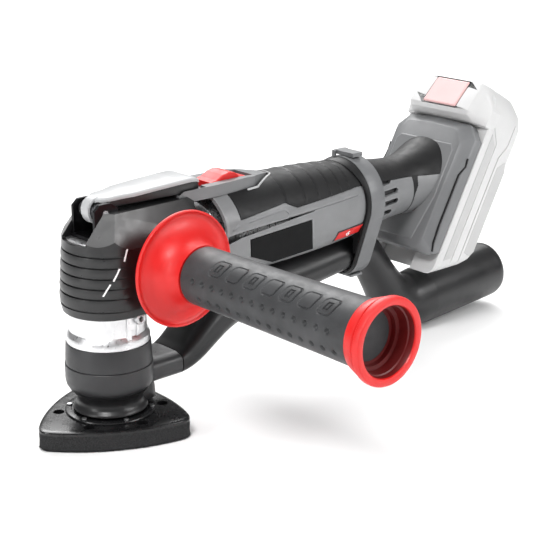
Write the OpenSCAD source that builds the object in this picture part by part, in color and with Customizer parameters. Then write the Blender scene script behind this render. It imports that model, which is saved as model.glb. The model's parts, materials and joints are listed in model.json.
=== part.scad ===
// Cordless oscillating multi-tool with a delta sanding pad, dust adaptor, side handle and battery.
// Millimetres. The origin is on the output spindle's axis at the pad's bottom face, +Z is up and
// +X runs from the head to the battery. The side handle points to -Y.

/* [Pad] */
// Distance from the spindle axis to a pad corner
pad_corner_r = 52; // [48:0.5:54]
// Height of the pad's top face
pad_top_z = 12.8; // [11.5:0.1:13]
// Diameter of one dust hole in the pad
pad_hole_d = 7; // [4:0.5:8]

/* [Head] */
// Half-width of the head covers
head_half_w = 28; // [27:0.5:29]
// Height of the head's flat top
head_top_z = 141; // [140:0.5:142]
// Outer radius of the gearbox neck
neck_r = 22.8; // [22:0.2:24]

/* [Body] */
// Height of the motor axis
axis_z = 110; // [110:1:110]
// Wall thickness of the plastic shells
wall = 2.5; // [2:0.1:3]
// Half-width across the flattened sides of the body
body_half_w = 28; // [27:0.5:29]

/* [Battery] */
// Lean of the battery foot from vertical, in degrees
foot_tilt = 30; // [28:1:32]
// Half-width of the battery foot
foot_half_w = 37; // [34:0.5:38]
// Diameter of one battery cell
cell_d = 18; // [14:1:18]

/* [Side handle] */
// Distance of the handle axis behind the spindle axis
handle_x = 25; // [24:0.5:26]
// Height of the handle axis
handle_z = 107.7; // [106:0.5:109]
// Diameter of the handle's threaded stud
stud_d = 8; // [7:0.5:8]
// Radius of the hand guard flange
flange_r = 35.4; // [30:0.2:36]
// Radius of the end cap
cap_r = 24.2; // [22:0.2:26]

/* [Dust adaptor] */
// Outer radius of the collar
collar_r = 27; // [26:0.2:28]
// Outer radius of the hose socket
socket_r = 21; // [20.5:0.1:21.5]
// Bore radius of the hose socket
socket_bore_r = 17.8; // [17:0.1:18]
// Length of the hose socket
socket_len = 76; // [60:1:80]

/* [Motion] */
// Offset of the eccentric on the motor shaft
eccentric = 0.8; // [0.5:0.1:1]
// Radial clearance of shafts in their bearings
run_gap = 0.03; // [0.02:0.01:0.08]

/* [Hidden] */
$fn = 64;
far = 400;
eps = 0.01;
spindle_r = 6;
rod_r = 3.5;
shaft_r = 3;
lever_x = -7;
lever_z = 140.5;
pin_r = 2;
foot_n0 = 176.5;
foot_n1 = 191.4;
battery_n0 = 191.8;
battery_n1 = 231;
battery_z0 = 51.8;
rail_half_w = 16;
split_n = 210;
button_n = 178;
button_u = 299.5;
button_lean = 17.7;
dial_r = 12.5;
dial_x = 183.5;
dial_angle = 35.2;
dial_off = 16;
socket_x0 = 280;
socket_z0 = 21.9;
socket_pitch = 3.5;

// Body radius along the motor axis: pairs of x and radius.
body_profile = [[72, 30], [126, 30.4], [151, 29.7], [178, 28.2], [202, 25.7], [227, 22.2],
                [242, 20.5], [252, 20.5], [266, 23], [284, 30]];
// Screws through the right shell: x, z, inner end and head in y.
screw_places = [[84, 96, 22, 26.6], [150, 92, 19, 22.8], [168, 118, 21, 26.8], [262, 100, 12, 18]];
// Rubber overmould's lower edge on the side of the body, in x and z.
overmould_edge = [[83, 141], [83, 127.5], [123, 127.5], [132, 124], [188, 124], [188, 145], [83, 145]];
// Stations of the dust duct: x, z, slope in degrees, half-width, half-height, section exponent.
duct_stations = [[45.3, 34, 0, 16.5, 7.5, 3.4], [52, 36.3, 20, 16.8, 8.6, 3.2],
                 [60, 41, 34, 17.2, 10, 3], [70, 48.2, 36, 17.4, 11.2, 2.8],
                 [80, 54.6, 29, 17.3, 12.4, 2.6], [92, 59.8, 19, 17, 14, 2.3],
                 [108, 63.6, 9, 16.4, 15.2, 2], [135, 65.3, 6, 15.8, 13.9, 2],
                 [160, 67.4, 6, 15, 12.7, 2], [187, 70.2, 5, 14.4, 11.9, 2], [205, 72.2, 3, 14, 11.9, 2]];
elbow_stations = [[205, 72.2, 3, 14, 11.9, 2], [213, 71.4, -20, 13.6, 12.5, 2],
                  [221, 67.6, -44, 13.2, 13.2, 2], [228.5, 58, -54, 13, 13, 2],
                  [237, 46, -55, 13.8, 13.8, 2], [246, 34, -51, 15.6, 15.6, 2],
                  [256, 25.6, -32, 18, 18, 2], [267, 21.8, -8, 20.2, 20.2, 2],
                  [socket_x0, socket_z0, socket_pitch, socket_r, socket_r, 2]];
duct_wall = 2.4;

// ---- helpers ----

// Turns a profile drawn as [x, radius] pairs about the motor axis.
module about_motor(points) {
    translate([0, 0, axis_z]) rotate([0, 90, 0])
        rotate_extrude() polygon([for (p = points) [p[1], p[0]]]);
}

// Turns a profile drawn as [y, radius] pairs about the handle axis; y grows towards +Y.
module about_handle(points) {
    translate([handle_x, 0, handle_z]) rotate([-90, 0, 0])
        rotate_extrude() polygon([for (p = points) [p[1], p[0]]]);
}

// Cylinder along X at the motor axis's height.
module motor_rod(x0, x1, r, z = axis_z) {
    translate([x0, 0, z]) rotate([0, 90, 0]) cylinder(h = x1 - x0, r = r);
}

module motor_ring(x0, x1, r_in, r_out, z = axis_z) {
    difference() {
        motor_rod(x0, x1, r_out, z);
        motor_rod(x0 - 1, x1 + 1, r_in, z);
    }
}

module ring(z0, z1, r_in, r_out) {
    translate([0, 0, z0]) difference() {
        cylinder(h = z1 - z0, r = r_out);
        translate([0, 0, -1]) cylinder(h = z1 - z0 + 2, r = r_in);
    }
}

// Cylinder along Y.
module cross_rod(x, z, y0, y1, r) {
    translate([x, y0, z]) rotate([-90, 0, 0]) cylinder(h = y1 - y0, r = r);
}

module block(lo, hi) {
    translate(lo) cube([hi[0] - lo[0], hi[1] - lo[1], hi[2] - lo[2]]);
}

// Outline in x and z, extruded over a span of y.
module side_slab(points, y0, y1) {
    translate([0, y1, 0]) rotate([90, 0, 0]) linear_extrude(y1 - y0) polygon(points);
}

// Keeps one side of what follows: side -1 is -Y and +1 is +Y.
module half(side) {
    intersection() {
        children();
        translate([-far / 2, side > 0 ? 0 : -far, -far / 2]) cube([2 * far, far, 2 * far]);
    }
}

// Frame of the leaning battery foot: local x is its thickness, local z runs up along it.
module leaning() {
    rotate([0, foot_tilt, 0]) children();
}

// Position u along the foot at thickness n where the world height is z.
function foot_u(n, z) = (z + n * sin(foot_tilt)) / cos(foot_tilt);

function signed_pow(v, e) = sign(v) * pow(abs(v), e);
sides = 24;
function section(st, shrink) = [for (k = [0:sides - 1])
    let (a = 360 * k / sides, hw = st[3] - shrink, hh = st[4] - shrink, e = 2 / st[5],
         y = hw * signed_pow(cos(a), e), h = hh * signed_pow(sin(a), e))
    [st[0] - h * sin(st[2]), y, st[1] + h * cos(st[2])]];

// Hollow tube through a list of stations.
module swept_tube(stations, thick) {
    n = len(stations);
    outer = [for (st = stations) each section(st, 0)];
    inner = [for (st = stations) each section(st, thick)];
    first_in = n * sides;
    function at(base, i, k) = base + i * sides + k % sides;
    walls = [for (i = [0:n - 2], k = [0:sides - 1]) each [
        [at(0, i, k), at(0, i + 1, k), at(0, i + 1, k + 1), at(0, i, k + 1)],
        [at(first_in, i, k + 1), at(first_in, i + 1, k + 1), at(first_in, i + 1, k),
         at(first_in, i, k)]]];
    ends = [for (k = [0:sides - 1]) each [
        [at(0, 0, k), at(0, 0, k + 1), at(first_in, 0, k + 1), at(first_in, 0, k)],
        [at(0, n - 1, k + 1), at(0, n - 1, k), at(first_in, n - 1, k), at(first_in, n - 1, k + 1)]]];
    polyhedron(points = concat(outer, inner), faces = concat(walls, ends));
}

// ---- pad ----

// Three bulging sides meeting at corners at 180, 60 and -60 degrees.
module pad_outline() {
    side_r = 114.4;
    centre_d = 77.4;
    intersection() {
        for_corner_arc(0, side_r, centre_d);
        for_corner_arc(120, side_r, centre_d);
        for_corner_arc(240, side_r, centre_d);
        circle(r = pad_corner_r);
    }
}

module for_corner_arc(angle, side_r, centre_d) {
    rotate(angle) translate([-centre_d, 0]) circle(r = side_r, $fn = 180);
}

module dust_holes(z0, z1) {
    for (k = [0:5]) rotate(30 + 60 * k) translate([32, 0, z0]) cylinder(h = z1 - z0, d = pad_hole_d);
}

module pad_layer(z0, z1, centre_r) {
    difference() {
        translate([0, 0, z0]) linear_extrude(z1 - z0) pad_outline();
        dust_holes(z0 - 1, z1 + 1);
        translate([0, 0, z0 - 1]) cylinder(h = z1 - z0 + 2, r = centre_r);
    }
}

module pad_hook_face() color("dimgray") pad_layer(0, 1.6, 10.6);
module pad_foam() color("gray") pad_layer(1.6, 10.2, 10.6);
module pad_plate() color("black") pad_layer(10.2, pad_top_z, rod_r + 0.6);
module pad_ring() color("black") ring(pad_top_z, pad_top_z + 1.4, 17, 27.9);

module pad_screws() {
    color("silver") for (k = [0:5]) rotate(60 * k + 15)
        translate([25.6, 0, pad_top_z + 1.4]) cylinder(h = 0.9, r = 1.5);
}

// ---- spindle and clamp ----

module output_spindle() {
    color("silver") difference() {
        union() {
            translate([0, 0, pad_top_z]) cylinder(h = 3.2, r = 11);
            translate([0, 0, pad_top_z + 3.2]) cylinder(h = 4, r1 = 9, r2 = spindle_r);
            translate([0, 0, pad_top_z]) cylinder(h = 124 - pad_top_z, r = spindle_r);
        }
        translate([0, 0, 0]) cylinder(h = 130, r = rod_r + run_gap);
    }
}

module swing_fork() {
    color("dimgray") difference() {
        union() {
            translate([0, 0, 104]) cylinder(h = 10, r = 12);
            block([4, -12.5, 104], [41, 12.5, 114]);
        }
        translate([0, 0, 100]) cylinder(h = 20, r = spindle_r);
        block([27, -8.5, 100], [45, 8.5, 120]);
    }
}

module lower_bearing() color("lightgray") ring(43, 51, spindle_r + run_gap, 14);
module upper_bearing() color("lightgray") ring(116, 123, spindle_r + run_gap, 11);

module clamp_bolt() {
    color("silver") {
        translate([0, 0, 6.4]) cylinder(h = 3.8, r = 9.6);
        translate([0, 0, 6.4]) cylinder(h = 125, r = rod_r);
        translate([0, 0, 131.2]) cylinder(h = 2.2, r = 7);
    }
}

module cam_bracket() {
    color("slategray") difference() {
        union() {
            block([-16, -11.6, 124.2], [10, 11.6, 126.4]);
            for (y = [-11.6, 9.6]) side_slab([[-15, 124.2], [2, 124.2], [2, 143], [-3, 146.5],
                                              [-11, 146.5], [-15, 143]], y, y + 2);
        }
        translate([0, 0, 120]) cylinder(h = 10, r = 8);
        cross_rod(lever_x, lever_z, -20, 20, pin_r);
    }
}

module lever_pin() color("silver") cross_rod(lever_x, lever_z, -11.9, 11.9, pin_r);

module clamp_lever() {
    plan = [[-15.2, -9.2], [2, -9.2], [14, -12.6], [60, -13.4], [66, -10], [66, 10], [60, 13.4],
            [14, 12.6], [2, 9.2], [-15.2, 9.2]];
    profile = [[-15, 141], [-13.6, 145.6], [-9.4, 148.2], [5, 149.2], [28, 150.4], [57, 151.4],
               [66, 147.6], [66, 142.4], [40, 142.4], [20, 143.4], [4, 142.6], [lever_x, 136]];
    color("lightgray") difference() {
        union() {
            intersection() {
                side_slab(profile, -20, 20);
                translate([0, 0, 120]) linear_extrude(40) polygon(plan);
            }
            cross_rod(lever_x, lever_z, -9.2, 9.2, 6.2);
        }
        side_slab([[10, 140], [62, 140], [62, 146.4], [12, 146.4]], -10.4, 10.4);
        cross_rod(lever_x, lever_z, -20, 20, pin_r + run_gap);
    }
}

// ---- gearbox ----

module side_boss(side) {
    cross_rod(handle_x, handle_z, side > 0 ? 15 : -30, side > 0 ? 30 : -15, 9);
}

module gearbox_housing() {
    color("gainsboro") difference() {
        union() {
            translate([0, 0, 40]) cylinder(h = 20, r = 17);
            translate([0, 0, 58.6]) cylinder(h = 4.4, r = 25.4);
            translate([0, 0, 63]) cylinder(h = 3, r1 = 25.4, r2 = neck_r + 0.8);
            translate([0, 0, 66]) cylinder(h = 12, r = neck_r + 0.4);
            translate([0, 0, 78]) cylinder(h = 46, r = neck_r);
            block([0, -18.5, 94], [56, 18.5, 124]);
            motor_rod(52, 57, 24);
            side_boss(-1);
            side_boss(1);
            rotate(-95) translate([neck_r - 2, -1.5, 64.5]) cube([4, 3, 13.7]);
        }
        translate([0, 0, 30]) cylinder(h = 60, r = 9);
        translate([0, 0, 43]) cylinder(h = 8, r = 14);
        translate([0, 0, 56]) cylinder(h = 60, r = 16);
        translate([0, 0, 110]) cylinder(h = 20, r = 9);
        translate([0, 0, 116]) cylinder(h = 7, r = 11);
        block([4, -14.6, 98], [51, 14.6, 118.6]);
        motor_rod(40, 70, 8);
        cross_rod(handle_x, handle_z, -40, 40, stud_d / 2 + run_gap);
    }
}

// Outline of the head, drawn in by t on every side.
module head_form(t) {
    intersection() {
        side_slab([[-28.2 + t, 78.5 - eps], [-28 + t, 86], [-25.6 + t, 118], [-24 + t, 123],
                   [-13 + t, head_top_z - t], [76, head_top_z - t], [76, 80 + t], [30, 78.5 - eps]],
                  -40, 40);
        translate([0, 0, 70]) union() {
            cylinder(h = 80, r = head_half_w - t);
            translate([0, -head_half_w + t, 0]) cube([76, 2 * (head_half_w - t), 80]);
        }
        rotate([90, 0, 90]) translate([0, 0, -50]) linear_extrude(140)
            polygon([for (s = [-1, 1]) each [for (p = s < 0 ?
                [[-26, 70], [-26, 80], [-28, 86], [-28, 122], [-23.5, 137], [-15, 142]] :
                [[-15, 142], [-23.5, 137], [-28, 122], [-28, 86], [-26, 80], [-26, 70]])
                [s < 0 ? p[0] + t : -p[0] - t, min(p[1], head_top_z - t)]]]);
    }
}

module head_cover(side) {
    difference() {
        half(side) difference() {
            head_form(0);
            difference() {
                head_form(wall);
                block([60, -40, 0], [90, 40, 200]);
            }
            block([59, -24, 86], [90, 24, 138]);
            motor_rod(57, 90, 25.5);
            translate([0, 0, 70]) cylinder(h = 54.4, r = neck_r + 0.1);
        }
        block([-40, -12, 123], [4, 12, 160]);
        cross_rod(handle_x, handle_z, -40, 40, 9.2);
        motor_rod(72, 90, 40);
        block([45.8, -15.2, 136.6], [80, 15.2, 160]);
    }
}

module head_cover_left() color("#1c1c1e") head_cover(-1);
module head_cover_right() color("#1c1c1e") head_cover(1);

// ---- motor ----

module motor_shaft() {
    color("silver") {
        motor_rod(40, 142, shaft_r);
        motor_rod(29, 41, shaft_r, axis_z + eccentric);
    }
}

module eccentric_bearing() {
    color("lightgray") motor_ring(30.5, 37.5, shaft_r, 6.5, axis_z + eccentric);
}

module counterweight() {
    color("goldenrod") difference() {
        motor_ring(42, 46.5, shaft_r, 8.2);
        block([30, -20, axis_z + 3.4], [60, 20, axis_z + 20]);
    }
}

module front_motor_bearing() color("lightgray") motor_ring(52, 57, shaft_r + run_gap, 8);
module rear_motor_bearing() color("lightgray") motor_ring(138, 142, shaft_r + run_gap, 8);

module cooling_fan() {
    color("ivory") difference() {
        union() {
            motor_rod(59, 67, 7);
            motor_rod(65.4, 67, 18);
            for (k = [0:10]) translate([59, 0, axis_z]) rotate([k * 360 / 11, 0, 0])
                translate([0, 5, -0.6]) cube([7, 13, 1.2]);
        }
        motor_rod(50, 70, shaft_r);
    }
}

module armature() {
    color("sienna") difference() {
        union() {
            motor_rod(84, 112, 15.4);
            motor_rod(78, 118, 12);
        }
        motor_rod(70, 130, shaft_r);
        for (k = [0:11]) translate([80, 0, axis_z]) rotate([k * 30, 0, 0])
            translate([0, 13.6, -0.9]) cube([40, 4, 1.8]);
    }
}

module commutator() color("peru") motor_ring(121, 128, shaft_r, 7.2);

module motor_can() {
    color("darkgray") difference() {
        motor_rod(70, 132, 21.5);
        motor_rod(72, 140, 19.8);
        motor_rod(60, 80, 8.5);
    }
}

module motor_magnets() {
    color("#303036") for (side = [-1, 1]) intersection() {
        motor_ring(80, 116, 16.4, 19.8);
        translate([70, side > 0 ? 4 : -30, axis_z - 14]) cube([60, 26, 28]);
    }
}

module brush_carrier() {
    color("#3a2f28") {
        difference() {
            motor_rod(132, 142, 21.5);
            motor_rod(131, 138, 17);
            motor_rod(130, 150, 8);
            block([130, -30, 134], [150, 30, 150]);
        }
    }
    color("#222222") for (side = [-1, 1])
        translate([120.6, side > 0 ? 7.7 : -14.7, axis_z - 2.5]) cube([13, 7, 5]);
}

// ---- body ----

module body_form(shrink, x0 = 72, x1 = 300) {
    intersection() {
        about_motor(concat([[72, 0]], [for (p = body_profile) [p[0], p[1] - shrink]], [[284, 0]]));
        block([x0, -body_half_w + shrink, 0], [x1, body_half_w - shrink, 300]);
    }
}

module foot_outline() {
    w = foot_half_w;
    polygon([[-w + 9, 0], [w - 9, 0], [w, 9], [w, 92], [w - 8, 101], [-w + 8, 101], [-w, 92], [-w, 9]]);
}

module foot_slab() {
    intersection() {
        leaning() translate([foot_n0, 0, 177]) rotate([90, 0, 90])
            linear_extrude(foot_n1 - foot_n0) foot_outline();
        block([200, -60, 66.5], [360, 60, 200]);
    }
}

module vent_slots(side) {
    for (k = [0:3]) translate([214, 0, 97 + 7.4 * k]) rotate([0, 8, 0])
        translate([0, side > 0 ? 10 : -34, 0]) cube([20 - abs(k - 1.5) * 4, 24, 3.8]);
}

module dial_frame() {
    translate([dial_x, 0, axis_z]) rotate([dial_angle, 0, 0]) children();
}

module body_shell(side) {
    difference() {
        half(side) difference() {
            union() {
                intersection() {
                    body_form(0);
                    leaning() block([0, -60, -200], [foot_n1 - 4, 60, 400]);
                }
                foot_slab();
            }
            intersection() {
                body_form(wall, 60, 246);
                block([60, -60, 0], [246, 60, 300]);
            }
            motor_rod(60, 80, 27.5);
            difference() {
                side_slab(overmould_edge, -60, 60);
                body_form(1.2);
            }
            leaning() block([foot_n0 + 6, -20, 190], [foot_n1 + 5, 20, 262]);
        }
        vent_slots(side);
        if (side < 0) dial_frame() block([-12.9, -34, -3.9], [12.9, 4, 3.9]);
        if (side > 0) for (p = screw_places) cross_rod(p[0], p[1], p[2] - 1, p[3] + 12, 2.25);
        side_slab([[60, axis_z + 26.6], [127, axis_z + 26.6], [127, 160], [60, 160]], -15.4, 15.4);
        side_slab([[91, 108.7], [144.5, 111.4], [145.7, 91.2], [109.5, 89.7], [91.7, 96.8]],
                  side > 0 ? body_half_w - 0.8 : -60, side > 0 ? 60 : -body_half_w + 0.8);
    }
}

module body_shell_left() color("#7b7d80") body_shell(-1);
module body_shell_right() color("#7b7d80") body_shell(1);

module overmould(side) {
    half(side) difference() {
        intersection() {
            body_form(0);
            side_slab(overmould_edge, -60, 60);
        }
        body_form(1.2);
        side_slab([[60, axis_z + 10], [127, axis_z + 10], [127, 160], [60, 160]], -15.4, 15.4);
    }
}

module overmould_left() color("#17171a") overmould(-1);
module overmould_right() color("#17171a") overmould(1);

module label_plates() {
    outline = [[91.3, 108.4], [144.2, 111.1], [145.4, 91.5], [109.6, 90], [92, 97]];
    color("#2c2e31") for (y = [-body_half_w - 0.2, body_half_w - 0.8]) side_slab(outline, y, y + 1);
}

module shell_screws() {
    color("#4a4a4c") for (p = screw_places) cross_rod(p[0], p[1], p[2], p[3], 2.2);
}

module switch_block() {
    plan = [[46, -14], [75, -15], [108, -13], [126, -4], [126, 4], [108, 13], [75, 15], [46, 14]];
    profile = [[46, 136.8], [126, 136.8], [126, 141.4], [112, 143.6], [100, 144.2], [50, 144.2],
               [46, 141.8]];
    color("#85878a") difference() {
        intersection() {
            side_slab(profile, -20, 20);
            translate([0, 0, 120]) linear_extrude(40) polygon(plan);
        }
        block([40, -14, 141.9], [67.5, 14, 160]);
        block([67, -8.6, 139.8], [110, 8.6, 160]);
        block([80, -3.3, 130], [100, 3.3, 160]);
    }
}

module switch_slider() {
    color("#c8141a") {
        side_slab([[76, 140.1], [106, 140.1], [106, 143.4], [100, 144.4], [96, 147.4], [91, 148.4],
                   [86, 147.4], [81, 144.8], [76, 144]], -8.3, 8.3);
        block([88, -3, 132.2], [92, 3, 141]);
    }
}

module micro_switch() {
    color("#26282b") block([96, -6, 131.8], [110, 6, 135.4]);
    color("silver") block([110, -3, 132.6], [114, 3, 134.4]);
}

module speed_dial() {
    color("#b5121b") dial_frame() translate([0, -dial_off, -3.5]) difference() {
        cylinder(h = 7, r = dial_r);
        translate([0, 0, -1]) cylinder(h = 9, r = 2);
        for (k = [0:29]) rotate(k * 12) translate([dial_r + 0.3, 0, -1]) cylinder(h = 9, r = 0.7);
    }
}

module control_board() {
    color("darkgreen") block([152, -16, 117], [205, 16, 118.6]);
    color("#303030") {
        block([158, -10, 118.6], [170, 4, 124]);
        block([176, -6, 118.6], [186, 8, 122]);
    }
    color("#303030") dial_frame() translate([0, -dial_off, -7.5]) cylinder(h = 14, r = 1.9);
}

module terminal_block() {
    color("#1d1d20") leaning() {
        block([foot_n0 + 7, -19.6, 191], [foot_n1, 19.6, 261]);
        block([foot_n1, -rail_half_w, 191], [foot_n1 + 5, rail_half_w, 250]);
    }
}

// ---- battery ----

module battery_form() {
    points = [[battery_n0, foot_u(battery_n0, battery_z0)], [battery_n0, 279],
              [button_n - 3.4, 279], [button_n - 4, 287], [button_n + 4, 312], [222, 312],
              [battery_n1, 304], [battery_n1, foot_u(battery_n1, battery_z0)]];
    w = foot_half_w + 0.8;
    leaning() intersection() {
        translate([0, w, 0]) rotate([90, 0, 0]) linear_extrude(2 * w) polygon(points);
        translate([100, 0, 0]) rotate([90, 0, 90]) linear_extrude(200)
            polygon([[-w, 150], [w, 150], [w, 297], [w - 12, 314], [-w + 12, 314], [-w, 297]]);
    }
}

// Block on the battery's front face; its local x points out of the face and z runs up along it.
module on_button_face(depth, half_w, half_h, proud) {
    leaning() translate([button_n, 0, button_u]) rotate([0, button_lean, 0])
        block([-proud, -half_w, -half_h], [depth, half_w, half_h]);
}

module battery_case_front() {
    color("#ececea") difference() {
        battery_form();
        leaning() {
            block([split_n, -60, 100], [400, 60, 400]);
            block([100, -rail_half_w - 0.4, 100], [foot_n1 + 5.4, rail_half_w + 0.4, 251]);
            block([198, -34, 186], [220, 34, 286]);
        }
        on_button_face(9, 15.4, 11.4, 10);
    }
}

module battery_case_rear() {
    color("#f4f4f2") difference() {
        battery_form();
        leaning() {
            block([100, -60, 100], [split_n, 60, 400]);
            block([200, -34, 206], [228, 34, 290]);
        }
    }
}

module battery_cells() {
    color("#7fa7c9") leaning() for (k = [0:3])
        translate([217, -32.5, 216.5 + 19.4 * k]) rotate([-90, 0, 0]) cylinder(h = 65, d = cell_d);
}

module battery_button() {
    color("#f3c9c9") on_button_face(4, 15, 11, 0.4);
}

// ---- dust adaptor ----

module dust_skirt() {
    color("#202022") difference() {
        union() {
            rotate_extrude() polygon([[16, 29.6], [25.6, 29.6], [24.6, 28], [21.4, 24.6], [20.2, 21],
                                      [20.8, 18], [22.8, 15.6], [22.8, 14.8], [16, 14.8]]);
            block([8, -13, 15.9], [28.2, 13, 29.6]);
        }
        translate([0, 0, 10]) cylinder(h = 30, r = 16);
        block([10, -10.5, 15], [25.4, 10.5, 40]);
        duct_plug(15, 60, 0.1);
    }
}

// Stretch of the duct's first section, with its walls moved out by grow.
module duct_plug(x0, x1, grow) {
    first = duct_stations[0];
    translate([x0, 0, 0]) rotate([90, 0, 90]) linear_extrude(x1 - x0)
        polygon([for (p = section(first, -grow)) [p[1], p[2]]]);
}

module collar_lower() {
    color("#2a2a2c") difference() {
        rotate_extrude() polygon([[16, 29.6], [25.6, 29.6], [collar_r, 33.4], [collar_r, 44.5],
                                  [17.05, 44.5], [17.05, 40], [16, 38]]);
        translate([0, 0, 29]) cylinder(h = 9.6, r = 23);
        duct_plug(15, 60, -1.6);
    }
}

module collar_upper() {
    color("#2a2a2c") ring(44.5, 58.5, 17.05, collar_r - 0.8);
}

module duct_neck() {
    color("#262628") difference() {
        duct_plug(20, 45.3, 0);
        duct_plug(19, 46, -duct_wall);
        cylinder(h = 100, r = collar_r, $fn = 64);
        translate([32, 0, 38]) cylinder(h = 10, r = 1.4);
    }
}

module dust_duct() color("#262628") swept_tube(duct_stations, duct_wall);
module outlet_elbow() color("#262628") swept_tube(elbow_stations, duct_wall);

module outlet_socket() {
    color("#262628") translate([socket_x0, 0, socket_z0]) rotate([0, 90 - socket_pitch, 0])
        difference() {
            rotate_extrude() polygon([[0, 0], [socket_r, 0], [socket_r, socket_len - 6],
                                      [socket_r - 0.6, socket_len - 3], [socket_r - 2, socket_len],
                                      [0, socket_len]]);
            translate([0, 0, -1]) cylinder(h = socket_len + 2, r = socket_bore_r);
        }
}

// Outline of the strap seen along X: one round for the body and one for the duct, with straight
// sides tangent to both.
module strap_outline(grow) {
    r_top = 27.4 + grow;
    r_low = 15.6 + grow;
    drop = axis_z - 73.6;
    a = asin((r_top - r_low) / drop);
    circle(r = r_top, $fn = 96);
    translate([0, -drop]) circle(r = r_low, $fn = 96);
    polygon([for (s = [-1, 1], q = s < 0 ? [[r_top, 0], [r_low, -drop]] : [[r_low, -drop], [r_top, 0]])
             [s * q[0] * cos(a), q[1] - q[0] * sin(a)]]);
}

module strap_solid(x0, x1, grow) {
    translate([x0, 0, axis_z]) rotate([90, 0, 90]) linear_extrude(x1 - x0) strap_outline(grow);
}

module strap_band() {
    color("#8a8c8f") {
        difference() {
            strap_solid(198.5, 211.5, 2.2);
            strap_solid(180, 220, 0);
        }
        block([199.5, -10, 55.4], [210.5, 10, 57]);
        for (x = [198.7, 209.8]) block([x, 6.6, 137], [x + 1.5, 9.6, 142.4]);
        buckle_rod(199, 211, 0.9);
    }
}

module strap_liner() {
    color("#141416") difference() {
        strap_solid(195.6, 212, -0.1);
        about_motor([[180, 0], [180, 28.15], [202, 25.85], [227, 22.35], [227, 0]]);
        block([180, -18, 50], [220, 18, 75]);
        block([180, -14.8, 70], [220, 14.8, 86]);
        dial_frame() translate([0, -dial_off, -4]) cylinder(h = 8, r = dial_r + 0.4);
    }
}

// Rod along X on the buckle's hinge line.
module buckle_rod(x0, x1, r) {
    translate([x0, 8, 141.2]) rotate([0, 90, 0]) cylinder(h = x1 - x0, r = r);
}

module strap_buckle() {
    color("#9a9c9f") difference() {
        block([200.5, -9, 139.9], [209.5, 9.4, 142.6]);
        buckle_rod(190, 220, 0.9 + run_gap);
    }
}

// ---- side handle ----

module handle_stud() {
    color("silver") cross_rod(handle_x, handle_z, -62, -16, stud_d / 2);
}

module handle_core() {
    color("#333336") about_handle([[-188, 0], [-188, 13], [-62, 13], [-62, 12], [-33.5, 12],
                                   [-33.5, stud_d / 2 + run_gap], [-62.5, stud_d / 2 + run_gap],
                                   [-62.5, 0]]);
}

module handle_flange() {
    color("#d6181c") about_handle([[-60.5, 12], [-60.5, 18], [-53, 18.6], [-46, 20.8], [-41, 25],
                                   [-40.2, 29], [-41.6, 32.4], [-44.4, flange_r - 1], [-44, flange_r],
                                   [-41.6, flange_r], [-38, 32.6], [-36.6, 29], [-36.4, 24],
                                   [-33, 17], [-30.6, 13], [-30.6, 12]]);
}

module handle_grip() {
    color("#36383b") difference() {
        about_handle([[-190, 13], [-190, 17], [-195.8, 17], [-195.8, 18.8], [-182, 18.9], [-120, 18.1],
                      [-61, 17.5], [-61, 13]]);
        for (k = [0:13], a = [-80, -114, 100, 66])
            translate([handle_x, -72 - 8.46 * k, handle_z]) rotate([0, a, 0])
                translate([0, 0, 18]) cylinder(h = 3, r = 1.2);
    }
}

module handle_cap() {
    color("#d6181c") about_handle([[-188.2, 0], [-188.2, 12.9], [-190.1, 12.9], [-190.1, 16.9],
                                   [-196, 16.9], [-196, 20.4], [-203.2, 22.8], [-204, 22.2],
                                   [-205.2, 22.6], [-206, cap_r], [-208.6, cap_r], [-210, cap_r - 1.4],
                                   [-210, 19.8], [-209, 19.2], [-199, 18.6], [-199, 15.6],
                                   [-192, 15.6], [-192, 0]]);
}

pad_hook_face();
pad_foam();
pad_plate();
pad_ring();
pad_screws();
output_spindle();
swing_fork();
lower_bearing();
upper_bearing();
clamp_bolt();
cam_bracket();
lever_pin();
clamp_lever();
gearbox_housing();
head_cover_left();
head_cover_right();
motor_shaft();
eccentric_bearing();
counterweight();
front_motor_bearing();
rear_motor_bearing();
cooling_fan();
armature();
commutator();
motor_can();
motor_magnets();
brush_carrier();
body_shell_left();
body_shell_right();
overmould_left();
overmould_right();
label_plates();
shell_screws();
switch_block();
switch_slider();
micro_switch();
speed_dial();
control_board();
terminal_block();
battery_case_front();
battery_case_rear();
battery_cells();
battery_button();
dust_skirt();
collar_lower();
collar_upper();
duct_neck();
dust_duct();
outlet_elbow();
outlet_socket();
strap_band();
strap_liner();
strap_buckle();
handle_stud();
handle_core();
handle_flange();
handle_grip();
handle_cap();
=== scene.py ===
"""Looks of the cordless oscillating multi-tool: materials and detailed meshes around the CAD frame."""
import json
import math
import random

import bmesh
import bpy
from mathutils import Matrix, Vector


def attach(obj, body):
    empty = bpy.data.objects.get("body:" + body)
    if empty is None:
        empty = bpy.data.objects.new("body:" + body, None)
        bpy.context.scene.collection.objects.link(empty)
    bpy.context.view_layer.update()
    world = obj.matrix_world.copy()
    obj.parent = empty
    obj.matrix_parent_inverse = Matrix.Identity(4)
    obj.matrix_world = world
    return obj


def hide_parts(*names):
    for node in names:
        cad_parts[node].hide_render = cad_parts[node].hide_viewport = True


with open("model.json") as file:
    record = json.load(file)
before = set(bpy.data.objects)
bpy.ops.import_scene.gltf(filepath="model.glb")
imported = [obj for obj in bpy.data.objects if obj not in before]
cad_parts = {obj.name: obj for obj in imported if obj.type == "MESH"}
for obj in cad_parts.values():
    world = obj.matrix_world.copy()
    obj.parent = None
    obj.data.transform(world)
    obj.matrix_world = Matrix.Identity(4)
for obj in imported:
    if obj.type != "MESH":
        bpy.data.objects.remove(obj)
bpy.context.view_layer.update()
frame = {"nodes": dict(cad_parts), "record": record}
random.seed(7)

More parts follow.
